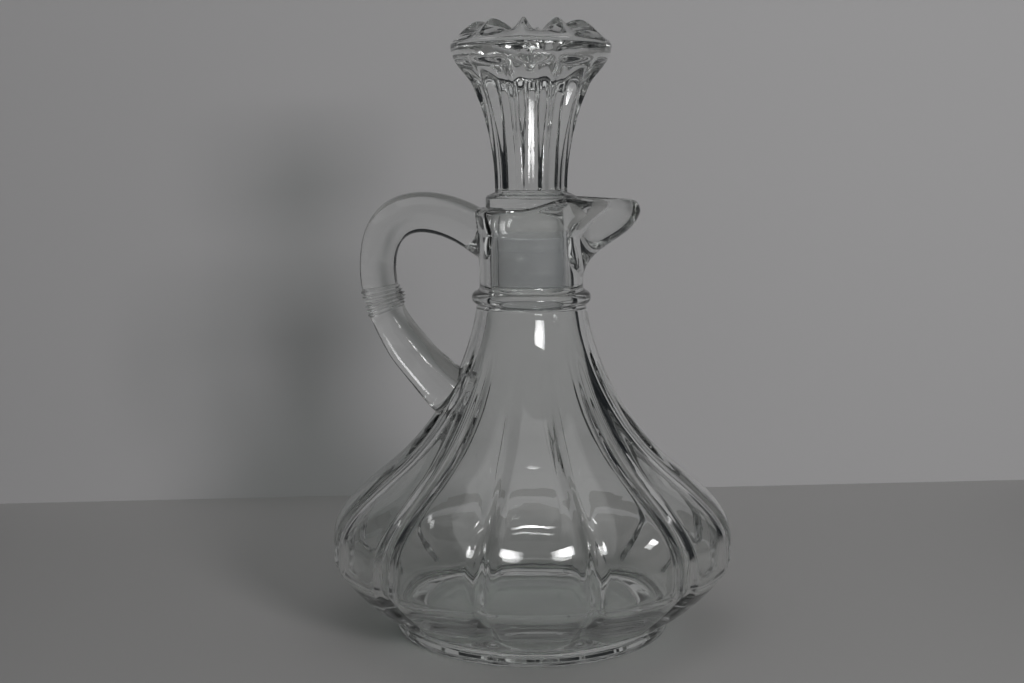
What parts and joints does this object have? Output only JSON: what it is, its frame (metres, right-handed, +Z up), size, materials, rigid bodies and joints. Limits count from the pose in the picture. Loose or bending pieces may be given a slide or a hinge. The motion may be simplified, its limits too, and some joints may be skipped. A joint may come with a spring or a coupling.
{
  "type": "glass oil cruet",
  "caption": "Clear pressed-glass oil cruet: lobed squat bulb on a foot, tapering neck with bead ring, pouring lip, looped handle and fluted glass stopper.",
  "frame": {"origin": "centre of the underside of the foot, on the surface that the cruet stands on", "axes": "+Z up along the bottle's axis; +X towards the pouring lip; -X towards the handle"},
  "size_m": [0.099, 0.099, 0.1478],
  "materials": {
    "clear_glass": "clear pressed glass, smooth and glossy",
    "stopper_glass": "clear pressed glass, smooth, with sharp flutes",
    "sleeve_plastic": "thin milky translucent moulded plastic"
  },
  "bodies": {
    "root": {"bottle": "clear_glass", "stopper": "stopper_glass", "stopper_sleeve": "sleeve_plastic"}
  },
  "joints": []
}
